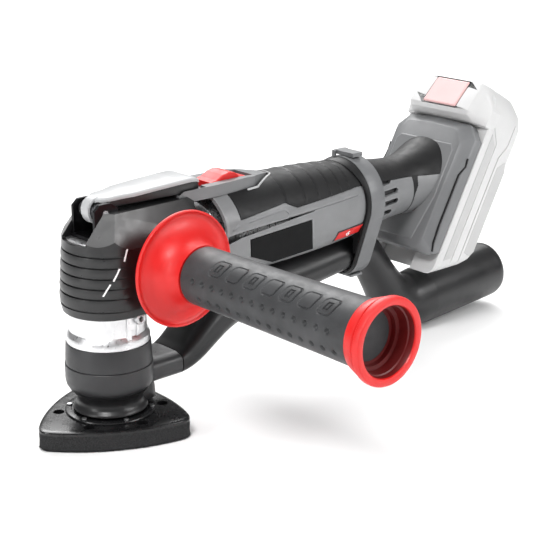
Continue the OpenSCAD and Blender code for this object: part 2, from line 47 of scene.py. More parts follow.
# Lengths are in millimetres until they become vertices.
MM = 0.001
AXIS_Z = 110.0            # height of the motor axis
HANDLE = (25.0, 107.7)    # side handle axis: x and z
TILT = math.radians(30)   # lean of the battery foot
LEVER_X, LEVER_Z = -7, 140.5  # pivot of the clamp lever
DIAL_X = 183.5            # middle of the speed dial
DIAL_TURN = math.radians(35.2)  # how far the dial's window looks down
FLAT_Y = 28.0             # half width between the flattened flanks of the body
OUT = 60                  # a plane well outside the tool's skin


# ---- materials

def new_material(name):
    mat = bpy.data.materials.new(name)
    mat.use_nodes = True
    return mat, mat.node_tree, mat.node_tree.nodes["Principled BSDF"]


def put(node, **inputs):
    """Gives input sockets a value or another node's output. An underscore stands for a space."""
    for name, value in inputs.items():
        socket = node.inputs[name.replace("_", " ")]
        if isinstance(value, bpy.types.NodeSocket):
            node.id_data.links.new(value, socket)
        else:
            socket.default_value = value


def add_node(tree, kind, settings=None, **inputs):
    node = tree.nodes.new(kind)
    for key, value in (settings or {}).items():
        setattr(node, key, value)
    put(node, **inputs)
    return node


def object_coords(tree):
    return add_node(tree, "ShaderNodeTexCoord").outputs["Object"]


def noise(tree, scale, detail=4.0, rough=0.55):
    tex = add_node(tree, "ShaderNodeTexNoise", Vector=object_coords(tree), Scale=scale, Detail=detail,
                   Roughness=rough)
    return tex.outputs["Fac"]


def remap(tree, value, low, high, from_low=0.3, from_high=0.7):
    node = add_node(tree, "ShaderNodeMapRange", Value=value, From_Min=from_low, From_Max=from_high,
                    To_Min=low, To_Max=high)
    return node.outputs["Result"]


def mix_colour(tree, fac, a, b):
    """Mixes a, a colour or a node's output, with the colour b."""
    start = a if isinstance(a, bpy.types.NodeSocket) else (*a, 1)
    node = add_node(tree, "ShaderNodeMix", {"data_type": "RGBA"}, A=start, B=(*b, 1), Factor=fac)
    return node.outputs["Result"]


def bump(tree, shader, height, distance, strength):
    node = add_node(tree, "ShaderNodeBump", Height=height, Distance=distance, Strength=strength)
    put(shader, Normal=node.outputs["Normal"])


def edge_wear_and_glint(tree, amount):
    """The amount along convex edges, 0 elsewhere, from the mesh's own curvature: the mask for edge wear and
    painted highlight.
    """
    geo = add_node(tree, "ShaderNodeNewGeometry")
    return remap(tree, geo.outputs["Pointiness"], 0.0, amount, 0.515, 0.56)


def plastic(name, colour, rough=0.45, grain=2600.0, depth=0.03, vary=0.18, coat=0.0, specular=0.5,
            wear_and_glint=0.25):
    """Moulded plastic: spark-eroded grain, blotchy tone, convex edges lightened, partly by wear and partly as
    a painted highlight.
    """
    mat, tree, shader = new_material(name)
    tone = mix_colour(tree, remap(tree, noise(tree, 55.0), 0, 1), [c * (1 - vary) for c in colour],
                      [min(1, c * (1 + vary)) for c in colour])
    # Convex edges are lightened: partly wear, partly a painted highlight for edge glints.
    wear_and_glint_tone = mix_colour(tree, edge_wear_and_glint(tree, wear_and_glint), tone, [min(1, c * 1.3 + 0.012) for c in colour])
    put(shader, Base_Color=wear_and_glint_tone, Specular_IOR_Level=specular, Coat_Weight=coat, Coat_Roughness=0.12,
        Roughness=remap(tree, noise(tree, 140.0), rough - 0.06, rough + 0.08))
    bump(tree, shader, noise(tree, grain, 3.0), depth * MM, 0.7)
    return mat


def rubber(name, colour, rough=0.7, grain=1900.0):
    """Soft overmoulded rubber: fine pebble grain and a dull sheen."""
    mat, tree, shader = new_material(name)
    tone = mix_colour(tree, remap(tree, noise(tree, 70.0), 0, 1), [c * 0.8 for c in colour],
                      [c * 1.3 for c in colour])
    put(shader, Base_Color=tone, Specular_IOR_Level=0.3, Sheen_Weight=0.03, Sheen_Roughness=0.5,
        Roughness=remap(tree, noise(tree, 160.0), rough - 0.08, rough + 0.08))
    cells = add_node(tree, "ShaderNodeTexVoronoi", Scale=grain, Vector=object_coords(tree))
    bump(tree, shader, cells.outputs["Distance"], 0.04 * MM, 0.6)
    return mat


def metal(name, colour, rough=0.25, cast=0.0, streak=(1, 1, 1)):
    """Turned, ground or cast metal. cast adds a sandy skin, streak is a stretch along one axis."""
    mat, tree, shader = new_material(name)
    tone = mix_colour(tree, remap(tree, noise(tree, 90.0), 0, 1), [c * 0.82 for c in colour], colour)
    stretch = add_node(tree, "ShaderNodeMapping", Scale=streak, Vector=object_coords(tree))
    tex = add_node(tree, "ShaderNodeTexNoise", Scale=900.0, Detail=5.0, Vector=stretch.outputs["Vector"])
    put(shader, Base_Color=tone, Metallic=1.0,
        Roughness=remap(tree, tex.outputs["Fac"], rough - 0.08, rough + 0.14))
    bump(tree, shader, tex.outputs["Fac"], (0.02 + cast * 0.1) * MM, 0.6)
    return mat


def felt(name, colour, grain=1500.0, depth=0.6):
    """Foam or hook pile: strong small bumps, no shine."""
    mat, tree, shader = new_material(name)
    speck = remap(tree, noise(tree, grain, 6.0, 0.7), 0, 1, 0.35, 0.65)
    tone = mix_colour(tree, speck, [c * 0.45 for c in colour], [c * 1.55 for c in colour])
    put(shader, Base_Color=tone, Roughness=0.95, Specular_IOR_Level=0.15)
    bump(tree, shader, speck, depth * MM, 0.8)
    return mat


MATS = {
    "grey": plastic("grey_moulding", (0.13, 0.133, 0.137), 0.42, 3200, 0.04, 0.1, wear_and_glint=0.4),
    "panel": plastic("grey_panel", (0.165, 0.168, 0.172), 0.4, 3600, 0.03, 0.08, wear_and_glint=0.4),
    # The head's strong edge lightening is a painted highlight along its band edges.
    "head": plastic("head_black", (0.0055, 0.0055, 0.006), 0.33, 2400, 0.03, 0.2, coat=0.05, specular=0.45,
                    wear_and_glint=1.0),
    "duct": plastic("duct_black", (0.009, 0.009, 0.0098), 0.36, 2200, 0.03, 0.15, specular=0.45),
    "collar": plastic("collar_grey_black", (0.02, 0.02, 0.0215), 0.42, 2600, 0.04, 0.12),
    "pad": plastic("pad_black", (0.004, 0.004, 0.0045), 0.26, 2600, 0.02, 0.2),
    "strap": plastic("strap_grey", (0.115, 0.118, 0.122), 0.4, 3000, 0.03, 0.1, wear_and_glint=0.4),
    "dark": plastic("dark_moulding", (0.01, 0.01, 0.011), 0.5),
    "label": plastic("label_plate", (0.0035, 0.0037, 0.004), 0.5, 4200, 0.01, 0.1, specular=0.08),
    "red": plastic("red_moulding", (0.6, 0.006, 0.005), 0.44, 2800, 0.02, 0.025, coat=0.04, wear_and_glint=0.15),
    # Darker copy of the red moulding: painted shade inside the end cap's cup.
    "deep_red": plastic("cup_red_painted_shade", (0.12, 0.001, 0.001), 0.5, 2800, 0.02, 0.1),
    "lever": plastic("lever_silver", (0.36, 0.365, 0.37), 0.38, 4200, 0.03, 0.05, wear_and_glint=0.4),
    "lever_side": plastic("lever_side", (0.012, 0.012, 0.0125), 0.4, 2600, 0.06, 0.15),
    "battery": plastic("battery_pale", (0.52, 0.52, 0.52), 0.4, 3000, 0.03, 0.03),
    # Darker copy of the battery plastic: painted groove shade on the side band and rib.
    "battery_groove": plastic("battery_groove", (0.4, 0.4, 0.4), 0.5, 3000, 0.03, 0.03),
    "pink": plastic("button_pink", (0.6, 0.37, 0.365), 0.38, 3000, 0.03, 0.03),
    "black_rubber": rubber("overmould_rubber", (0.0035, 0.0035, 0.004), 0.5),
    "grip": rubber("grip_rubber", (0.038, 0.039, 0.041), 0.48, 2400),
    "neck": metal("cast_aluminium", (0.8, 0.8, 0.81), 0.33, 0.15, (1, 1, 0.4)),
    "steel": metal("steel", (0.58, 0.58, 0.59), 0.28, 0.0, (1, 1, 0.2)),
    "bracket": metal("plated_steel", (0.34, 0.345, 0.36), 0.3),
    # Near-black steel: painted shade for the cam bracket in the dark lever slot.
    "slot_shade_steel": metal("steel_painted_slot_shade", (0.03, 0.03, 0.032), 0.36),
    "bearing": metal("ground_steel", (0.75, 0.75, 0.77), 0.15),
    "brass": metal("brass", (0.72, 0.52, 0.22), 0.25),
    "copper": metal("copper", (0.7, 0.33, 0.16), 0.3),
    "board": plastic("solder_mask", (0.01, 0.13, 0.05), 0.3, 900, 0.08),
    "foam": felt("pad_foam", (0.035, 0.035, 0.036)),
    "hooks": felt("hook_pile", (0.03, 0.03, 0.031), 2200, 0.9),
    "cell": plastic("cell_wrap", (0.16, 0.38, 0.58), 0.25, 2000, 0.01),
    "white": plastic("white_print", (0.85, 0.85, 0.85), 0.4, 3000, 0.01, 0.03),
}

SLOT_MATERIAL = {
    "hook_face": "hooks", "foam": "foam", "pad_black": "pad", "steel": "steel",
    "bearing_steel": "bearing", "bracket_steel": "bracket", "lever_silver": "lever",
    "cast_aluminium": "neck", "head_black": "head", "brass_part": "brass", "fan_nylon": "white",
    "copper_winding": "copper", "magnet": "dark", "dark_plastic": "dark", "grey_plastic": "grey",
    "rubber_black": "black_rubber", "label_dark": "label", "red_plastic": "red",
    "circuit_board": "board", "battery_plastic": "battery", "cell_wrap": "cell",
    "button_pink": "pink", "duct_plastic": "duct", "strap_grey": "strap", "grip_rubber": "grip",
}
NODE_SLOT = {s["node"]: s["material_slot"] for s in frame["record"]["subparts"]}
NODE_BODY = {n: b for b, names in frame["record"]["behaviour"]["bodies"].items() for n in names}


# ---- mesh helpers

def side_name(name, side):
    return f"{name}_{'r' if side > 0 else 'l'}"


def add_bevel(obj, width, segments=2, angle=35):
    mod = obj.modifiers.new("bevel", "BEVEL")
    mod.width = width * MM
    mod.segments = segments
    mod.limit_method = "ANGLE"
    mod.angle_limit = math.radians(angle)
    mod.harden_normals = True
    mod.use_clamp_overlap = True


def make_object(name, verts, faces, material, sharp=32, bevel=0.0):
    """A mesh from vertices in millimetres. Smooth shaded with sharp edges kept."""
    mesh = bpy.data.meshes.new(name)
    mesh.from_pydata([Vector(v) * MM for v in verts], [], faces)
    bm = bmesh.new()
    bm.from_mesh(mesh)
    bmesh.ops.remove_doubles(bm, verts=bm.verts, dist=1e-7)
    bmesh.ops.recalc_face_normals(bm, faces=bm.faces)
    bm.to_mesh(mesh)
    bm.free()
    obj = bpy.data.objects.new(name, mesh)
    bpy.context.collection.objects.link(obj)
    mats = material if isinstance(material, (list, tuple)) else [material]
    for key in mats:
        mesh.materials.append(MATS[key])
    mesh.shade_smooth()
    if bevel:
        add_bevel(obj, bevel)
    else:
        mesh.set_sharp_from_angle(angle=math.radians(sharp))
    return obj


def stand_for(obj, *nodes):
    """The object rides with the nodes it replaces, which are hidden."""
    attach(obj, NODE_BODY[nodes[0]])
    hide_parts(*nodes)


def belong(obj, body):
    """A trim piece that replaces no CAD node."""
    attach(obj, body)


def ring_faces(rows, cols):
    faces = []
    for i in range(rows - 1):
        for k in range(cols):
            n = (k + 1) % cols
            faces.append((i * cols + k, i * cols + n, (i + 1) * cols + n, (i + 1) * cols + k))
    return faces


def loft(name, rings, material, sharp=32, bevel=0.0, loop=False):
    """A skin over closed rings of equal count, capped, or with its last ring joined to the first."""
    cols = len(rings[0])
    verts = [p for r in rings for p in r]
    faces = ring_faces(len(rings), cols)
    last = (len(rings) - 1) * cols
    if loop:
        faces += [(last + k, last + (k + 1) % cols, (k + 1) % cols, k) for k in range(cols)]
    else:
        faces.append(tuple(range(cols)))
        faces.append(tuple(last + k for k in reversed(range(cols))))
    return make_object(name, verts, faces, material, sharp, bevel)


def turned(name, profile, place, material, segments=128, closed=False):
    """Turns (position, radius) pairs; place(position, y, z) gives the point in space."""
    rings = []
    for pos, r in profile:
        rings.append([place(pos, r * math.cos(a), r * math.sin(a))
                      for a in (2 * math.pi * k / segments for k in range(segments))])
    return loft(name, rings, material, loop=closed)


def about_spindle(pos, u, v):
    return (u, v, pos)


def about_handle(pos, u, v):
    return (HANDLE[0] + u, pos, HANDLE[1] + v)


def dial_frame():
    """Middle of the dial's window opening: -y points out of the window."""
    return Matrix.Translation(Vector((DIAL_X, 0, AXIS_Z)) * MM) @ Matrix.Rotation(DIAL_TURN, 4, "X")


def smooth_profile(points, steps=6):
    """Catmull-Rom curve through the points."""
    out = []
    n = len(points)
    for i in range(n - 1):
        p0, p1, p2, p3 = (points[max(i - 1, 0)], points[i], points[i + 1], points[min(i + 2, n - 1)])
        for s in range(steps):
            t = s / steps
            out.append(tuple(0.5 * ((2 * b) + (c - a) * t + (2 * a - 5 * b + 4 * c - d) * t * t
                                    + (3 * b - a - 3 * c + d) * t ** 3)
                             for a, b, c, d in zip(p0, p1, p2, p3)))
    out.append(tuple(points[-1]))
    return out


def prism(name, outline, low, high, axis, material, bevel=0.5):
    """An outline in the plane across axis, extruded from low to high. axis: x, y or z."""
    def place(p, h):
        return {"x": (h, p[0], p[1]), "y": (p[0], h, p[1]), "z": (p[0], p[1], h)}[axis]
    n = len(outline)
    verts = [place(p, low) for p in outline] + [place(p, high) for p in outline]
    faces = [tuple(range(n)), tuple(n + k for k in reversed(range(n)))]
    faces += [(k, (k + 1) % n, n + (k + 1) % n, n + k) for k in range(n)]
    return make_object(name, verts, faces, material, bevel=bevel)


def box(name, low, high, material, bevel=0.4):
    outline = [(low[0], low[1]), (high[0], low[1]), (high[0], high[1]), (low[0], high[1])]
    return prism(name, outline, low[2], high[2], "z", material, bevel)


def apply_modifiers(obj):
    """Bakes the modifiers into the mesh, so that later steps see the real shape."""
    graph = bpy.context.evaluated_depsgraph_get()
    mesh = bpy.data.meshes.new_from_object(obj.evaluated_get(graph))
    obj.modifiers.clear()
    obj.data = mesh


def cut(obj, cutter, operation="DIFFERENCE"):
    mod = obj.modifiers.new("cut", "BOOLEAN")
    mod.operation = operation
    mod.solver = "EXACT"
    mod.object = cutter
    apply_modifiers(obj)
    bpy.data.objects.remove(cutter)


def slice_off(obj, point, normal):
    """Cuts away what lies on the normal's side of a plane and closes the flat."""
    bm = bmesh.new()
    bm.from_mesh(obj.data)
    geometry = bm.verts[:] + bm.edges[:] + bm.faces[:]
    bmesh.ops.bisect_plane(bm, geom=geometry, plane_co=Vector(point) * MM, plane_no=Vector(normal),
                           clear_outer=True, dist=1e-7)
    bmesh.ops.edgeloop_fill(bm, edges=[e for e in bm.edges if e.is_boundary])
    bmesh.ops.recalc_face_normals(bm, faces=bm.faces)
    bm.to_mesh(obj.data)
    bm.free()


def keep_sharp(obj, angle=32):
    obj.data.shade_smooth()
    obj.data.set_sharp_from_angle(angle=math.radians(angle))


def leaning(n, y, u):
    """A point from the foot's own directions: n through it, u up along it, in millimetres."""
    return (n * math.cos(TILT) + u * math.sin(TILT), y, u * math.cos(TILT) - n * math.sin(TILT))


# ---- camera, light, floor

def set_stage():
    cam = bpy.data.cameras.new("camera")
    cam.sensor_width = 36
    cam.lens = 96.8
    cam.clip_end = 20
    obj = bpy.data.objects.new("camera", cam)
    azimuth, elevation = math.radians(-42.46), math.radians(18.11)
    back = Vector((math.sin(azimuth) * math.cos(elevation),
                   -math.cos(azimuth) * math.cos(elevation), math.sin(elevation)))
    obj.location = (-0.4944, -0.6905, 0.3746)
    obj.rotation_euler = (-back).to_track_quat("-Z", "Y").to_euler()
    bpy.context.collection.objects.link(obj)
    bpy.context.scene.camera = obj

    mesh = bpy.data.meshes.new("floor")
    size = 4.0
    mesh.from_pydata([(-size, -size, -0.0003), (size, -size, -0.0003), (size, size, -0.0003),
                      (-size, size, -0.0003)], [], [(0, 1, 2, 3)])
    floor = bpy.data.objects.new("floor", mesh)
    mat, tree, shader = new_material("floor")
    shade = mix_colour(tree, remap(tree, noise(tree, 3.0), 0, 1), (0.9, 0.9, 0.9), (0.93, 0.93, 0.93))
    put(shader, Base_Color=shade, Roughness=0.85)
    mesh.materials.append(mat)
    bpy.context.collection.objects.link(floor)

    for name, place, look, size, stretch, power in (
            ("key", (-0.75, -0.45, 1.25), (0.1, 0, 0.08), 0.45, 1, 15),
            ("front_left", (-1.0, 0.05, 0.42), (0.0, 0, 0.08), 0.16, 4, 3.2),
            ("fill", (0.5, -1.3, 0.5), (0.15, 0, 0.08), 0.5, 1, 4),
            ("right_high", (0.85, -1.05, 0.88), (0.05, -0.02, 0.11), 0.5, 1, 9),
            ("back_top", (0.5, 0.9, 1.3), (0.15, 0, 0.08), 0.9, 1, 17),
            ("backdrop", (1.9, 2.2, 1.9), (2.0, 2.4, 0), 2.4, 1, 95)):
        light = bpy.data.lights.new(name, "AREA")
        light.shape = "RECTANGLE"
        light.size, light.size_y, light.energy = size, size * stretch, power
        lamp = bpy.data.objects.new(name, light)
        lamp.location = place
        lamp.rotation_euler = (Vector(look) - Vector(place)).to_track_quat("-Z", "Y").to_euler()
        bpy.context.collection.objects.link(lamp)

    world = bpy.data.worlds.new("studio")
    world.use_nodes = True
    bpy.context.scene.world = world
    tree = world.node_tree
    coords = add_node(tree, "ShaderNodeTexCoord")
    split = add_node(tree, "ShaderNodeSeparateXYZ", Vector=coords.outputs["Generated"])
    put(tree.nodes["Background"], Color=(1, 1, 1, 1),
        Strength=remap(tree, split.outputs["Z"], 0.1, 0.42, -0.2, 0.9))
    bpy.context.scene.view_settings.view_transform = "Standard"


# ---- pad and collar

def pad_radius(angle):
    """Distance from the spindle axis to the pad's edge: three bulging sides, rounded corners."""
    side_r, centre_d, corner = 114.4, 77.4, 52.0
    best = corner
    for middle in (0, 120, 240):
        d = angle - math.radians(middle)
        reach = -centre_d * math.cos(d) + math.sqrt(side_r ** 2 - (centre_d * math.sin(d)) ** 2)
        best = min(best, reach)
    return best


def pad_ring(z, inset, count=240):
    ring = []
    for k in range(count):
        a = 2 * math.pi * k / count
        near = [pad_radius(a + 2 * math.pi * j / count) for j in range(-3, 4)]
        r = sum(near) / len(near) - inset
        ring.append((r * math.cos(a), r * math.sin(a), z))
    return ring


def drill_pad(obj, z0, z1, centre_r):
    def drill(x, y, r):
        tool = turned("drill", [(z0 - 1, r), (z1 + 1, r)], lambda p, u, v: (x + u, y + v, p), "pad", 40)
        cut(obj, tool)
    for k in range(6):
        a = math.radians(30 + 60 * k)
        drill(32 * math.cos(a), 32 * math.sin(a), 3.5)
    drill(0, 0, centre_r)


def make_pad():
    plate = loft("pad_plate_moulding", [pad_ring(10.2, 0.2), pad_ring(11.6, 0.1), pad_ring(12.3, 0.5),
                                        pad_ring(12.7, 1.6), pad_ring(12.8, 3.2)], "pad")
    drill_pad(plate, 10, 13, 4.1)
    keep_sharp(plate)
    stand_for(plate, "pad_plate")
    foam = loft("pad_foam_block", [pad_ring(1.6, 0.1), pad_ring(5, 0.35), pad_ring(8.5, 0.2),
                                   pad_ring(10.2, 0.3)], "foam")
    drill_pad(foam, 1, 11, 10.6)
    keep_sharp(foam)
    stand_for(foam, "pad_foam")
    base = loft("pad_hook_sheet", [pad_ring(0.3, 0.6), pad_ring(0.9, 0.1), pad_ring(1.6, 0.1)], "hooks")
    drill_pad(base, 0, 2, 10.6)
    keep_sharp(base)
    stand_for(base, "pad_hook_face")
    verts, faces = [], []
    for _ in range(2600):
        a = random.uniform(0, 2 * math.pi)
        r = pad_radius(a) - random.uniform(0.2, 1.3)
        x, y, z = r * math.cos(a), r * math.sin(a), random.uniform(0.5, 1.5)
        lean = a + random.uniform(-1.2, 1.2)
        length = random.uniform(0.4, 1.1)
        tip = (x + length * math.cos(lean) * 0.7, y + length * math.sin(lean) * 0.7,
               max(0.02, z - random.uniform(0.3, 1.2)))
        side = (-math.sin(a) * 0.12, math.cos(a) * 0.12)
        i = len(verts)
        verts += [(x - side[0], y - side[1], z), (x + side[0], y + side[1], z), tip,
                  (x, y, z + 0.2)]
        faces += [(i, i + 1, i + 2), (i, i + 2, i + 3), (i + 1, i + 3, i + 2), (i, i + 3, i + 1)]
    pile = make_object("pad_hook_pile", verts, faces, "hooks")
    belong(pile, "spindle")
    ring = turned("pad_clamp_ring", [(12.8, 17), (12.8, 27.6), (13.4, 27.9), (14, 27.6), (14.2, 27),
                                     (14.2, 24.4), (13.8, 24), (13.8, 17)], about_spindle, "pad", closed=True)
    stand_for(ring, "pad_ring")


def make_collar():
    skirt = smooth_profile([(29.6, 25.2), (28.2, 24.4), (26, 22.3), (23.5, 20.7), (21, 20.2), (18.6, 20.9),
                            (16.6, 22.6), (15.4, 23.0), (14.8, 22.4)], 5)
    shell = turned("dust_skirt_boot", skirt + [(14.8, 18), (29.6, 18)], about_spindle, "duct", closed=True)
    stand_for(shell, "dust_skirt")
    lug = []
    for z, reach, half in ((15.9, 28.0, 12.6), (17, 28.4, 13), (24, 28.0, 13), (29, 27.0, 12.6),
                           (32.0, 25.8, 12.2)):
        lug.append([(9, -half + 1, z), (reach - 6, -half, z), (reach - 1.6, -half + 2.4, z),
                    (reach, -half + 5.4, z), (reach, half - 5.4, z), (reach - 1.6, half - 2.4, z),
                    (reach - 6, half, z), (9, half - 1, z)])
    block = loft("dust_skirt_lug", lug, "duct", bevel=0.8)
    belong(block, "housing")
    lower = turned("collar_lower_ring", [(29.6, 18), (29.6, 25.0), (30.2, 25.6), (31.4, 26.3), (33.4, 26.8),
                                         (35, 27), (44.0, 27), (44.4, 26.6), (44.4, 18)],
                   about_spindle, "collar", closed=True)
    stand_for(lower, "collar_lower")
    upper = turned("collar_upper_ring", [(44.5, 18), (44.5, 26.2), (44.9, 26.6), (50, 26.4), (57.6, 26.0),
                                         (58.3, 25.7), (58.5, 25.2), (58.5, 18)],
                   about_spindle, "collar", closed=True)
    stand_for(upper, "collar_upper")


# ---- duct

DUCT = [(45.3, 34, 0, 16.5, 7.5, 3.4), (52, 36.3, 20, 16.8, 8.6, 3.2), (60, 41, 34, 17.2, 10, 3),
        (70, 48.2, 36, 17.4, 11.2, 2.8), (80, 54.6, 29, 17.3, 12.4, 2.6), (92, 59.8, 19, 17, 14, 2.3),
        (108, 63.6, 9, 16.4, 15.2, 2), (135, 65.3, 6, 15.8, 13.9, 2), (160, 67.4, 6, 15, 12.7, 2),
        (187, 70.2, 5, 14.4, 11.9, 2), (205, 72.2, 3, 14, 11.9, 2)]
ELBOW = [(205, 72.2, 3, 14, 11.9, 2), (213, 71.4, -20, 13.6, 12.5, 2), (221, 67.6, -44, 13.2, 13.2, 2),
         (228.5, 58, -54, 13, 13, 2), (237, 46, -55, 13.8, 13.8, 2), (246, 34, -51, 15.6, 15.6, 2),
         (256, 25.6, -32, 18, 18, 2), (267, 21.8, -8, 20.2, 20.2, 2), (280, 21.9, 3.5, 21, 21, 2)]


def duct_ring(station, shrink=0.0, count=64):
    x, z, slope, half_w, half_h, power = station
    slope = math.radians(slope)
    ring = []
    for k in range(count):
        a = 2 * math.pi * k / count
        c, s = math.cos(a), math.sin(a)
        y = (half_w - shrink) * math.copysign(abs(c) ** (2 / power), c)
        h = (half_h - shrink) * math.copysign(abs(s) ** (2 / power), s)
        ring.append((x - h * math.sin(slope), y, z + h * math.cos(slope)))
    return ring


def duct_tube(name, stations, wall=2.4):
    path = smooth_profile(stations, 6)
    rings = [duct_ring(s) for s in path] + [duct_ring(s, wall) for s in reversed(path)]
    return loft(name, rings, "duct", loop=True, sharp=40)


def make_duct():
    rings = [duct_ring((x, *DUCT[0][1:]), shrink) for x, shrink in
             ((20, 0), (44.4, 0), (45.0, 0.5), (45.0, 2.4), (20, 2.4))]
    plug = loft("duct_neck_moulding", rings, "collar", loop=True, sharp=40)
    stand_for(plug, "duct_neck")
    # A dark cup in the duct neck: painted shade for a screw hole.
    hole_shade = turned("duct_neck_hole_shade", [(41.45, 1.7), (41.58, 1.6), (41.58, 1.1), (41.0, 1.0), (41.0, 0.01)],
                   lambda p, u, v: (33 + u, v - 2, p), "dark", 32)
    belong(hole_shade, "housing")
    stand_for(duct_tube("dust_duct_tube", DUCT), "dust_duct")
    stand_for(duct_tube("outlet_elbow_tube", ELBOW), "outlet_elbow")
    pitch = math.radians(3.5)

    def along_socket(p, u, v):
        return (280 + p * math.cos(pitch) - v * math.sin(pitch), u,
                21.9 + p * math.sin(pitch) + v * math.cos(pitch))
    outside = [(0, 21), (30, 21.0), (69, 21.0)]
    rounded = [(69 + 7 * math.sin(a), 21 - 2.4 * (1 - math.cos(a)))
               for a in (math.pi / 2 * k / 6 for k in range(1, 7))]
    socket = turned("outlet_socket_tube", outside + rounded + [(76, 18.2), (75.4, 17.8), (0, 17.8)],
                    along_socket, "duct", closed=True)
    stand_for(socket, "outlet_socket")


# ---- head

def make_head():
    def outline(r_front, half_w, z, rear, groove=0.0):
        pts = []
        arc, sides = 44, 10
        for k in range(arc + 1):
            a = math.pi / 2 + math.pi * k / arc
            middle = abs(math.degrees(a) - 180)
            fade = max(0.0, min(1.0, (84 - middle) / 26))
            r = r_front - groove * fade
            pts.append((r * math.cos(a), half_w / r_front * r * math.sin(a), z))
        for k in range(1, sides + 1):
            pts.append((rear * k / sides, -half_w, z))
        for k in range(sides, 0, -1):
            pts.append((rear * k / sides, half_w, z))
        return pts
    levels = [(78.5, 26.0, 26.2, 0), (79.2, 26.8, 27.0, 0), (83.8, 27.8, 28.0, 0), (84.0, 27.8, 28.0, 0.7),
              (84.8, 27.8, 28.0, 0.7), (85.1, 27.8, 28.0, 0)]
    for z in (92.4, 98.6, 104.9, 111.2, 117.6):
        lean = 27.9 - 3.6 * ((z - 84) / 39) ** 1.4
        levels += [(z - 3.2, lean + 0.55, 28, -0.25), (z - 0.7, lean + 0.25, 28, 0),
                   (z - 0.45, lean, 28, 0.8), (z + 0.1, lean, 28, 0.8), (z + 0.45, lean, 28, 0)]
    levels += [(121.5, 24.6, 28, 0), (140.4, 24.6, 28, 0), (141, 24.0, 27.4, 0)]
    shell = loft("head_shell", [outline(r, w, z, 74, g) for z, r, w, g in levels], "head", sharp=28)
    slice_off(shell, (-24.4, 0, 123), (-0.853, 0, 0.521))
    for side in (-1, 1):
        slice_off(shell, (0, side * 28, 121.4), (0, side * 0.88, 0.475))
        slice_off(shell, (-14.6, side * 19.4, 127.6), (-0.66, side * 0.49, 0.57))
        slice_off(shell, (50, side * 28, 121.4), (0.32, side * 0.8, 0.5))
    inside = [(77.5, 23.6, 24.2), (84, 25.3, 25.6), (100, 24.4, 25.7), (116, 22.0, 25.4), (123, 19.6, 23.4),
              (129, 15.6, 20.6), (135.6, 10.6, 17.0), (138.6, 8.4, 14.4)]
    cut(shell, loft("tool", [outline(r, w, z, 80) for z, r, w in inside], "head"))
    cut(shell, box("tool", (-40, -11.9, 123.4), (4, 11.9, 160), "head", 0))
    cut(shell, box("tool", (45.8, -15.2, 136.6), (80, 15.2, 160), "head", 0))
    cut(shell, box("tool", (71.6, -40, 60), (90, 40, 160), "head", 0))
    for side in (-1, 1):
        cut(shell, turned("tool", [(side * 20, 9.3), (side * 40, 9.3)], about_handle, "head", 64))
    keep_sharp(shell, 26)
    stand_for(shell, "head_cover_left", "head_cover_right")
    make_head_marks()
    drum = turned("lever_drum", [(-9.1, 2.1), (-9.1, 4.4), (-8.7, 4.8), (8.7, 4.8), (9.1, 4.4), (9.1, 2.1)],
                  lambda p, u, v: (LEVER_X + u, p, LEVER_Z + v), "bracket", 64, closed=True)
    belong(drum, "lever")
    boss = turned("grease_port", [(-19, 1.6), (-26.4, 1.6), (-26.6, 2.0), (-26.4, 3.4), (-25.6, 3.9),
                                  (-19, 3.9)],
                  lambda p, u, v: (5.5 + u, p, 76.6 + v), "steel", 48, closed=True)
    belong(boss, "housing")


def make_head_marks():
    """Pale dashes on the rounded front and an arrow on each sloping cheek."""
    for side in (-1, 1):
        for k, (angle, z, slant) in enumerate(DASHES):
            rows = []
            for t in (-1, 1):
                a = math.radians(angle - t * slant)
                height = z + t * 3.6
                r = 28.05 - 3.6 * max(0.0, (height - 84) / 39) ** 1.4 + 0.62
                rows.append([(r * math.cos(b), side * -28.25 * math.sin(b), height + dz)
                             for b, dz in ((a - 0.018, 0.1), (a + 0.018, -0.1))])
            (p, q), (u, v) = rows
            inner = [(x * 0.97, y * 0.97, h) for x, y, h in (p, q, v, u)]
            dash = make_object(side_name("head_dash", side) + str(k), [p, q, v, u] + inner,
                               [(0, 1, 2, 3), (7, 6, 5, 4), (0, 4, 5, 1), (1, 5, 6, 2), (2, 6, 7, 3),
                                (3, 7, 4, 0)], "white")
            belong(dash, "housing")
        slope = Matrix.Translation((0.030, side * 0.02325, 0.1302)) @ Matrix.Rotation(
            math.radians(90 - 61.6) * -side, 4, "X")
        arrow = prism(side_name("head_arrow", side),
                      [(-4.2, -0.5), (1.6, -0.5), (1.6, -2.0), (4.6, 0), (1.6, 2.0), (1.6, 0.5), (-4.2, 0.5)],
                      -0.25, 0.25, "y", "dark", 0.05)
        arrow.data.transform(slope)
        belong(arrow, "housing")


# Trim marks on the rounded front: angle about the spindle, height and slant in degrees.
DASHES = [(258.5, 118.6, -2.3), (246.2, 107.2, -3.8), (234.3, 98.3, -4.4)]


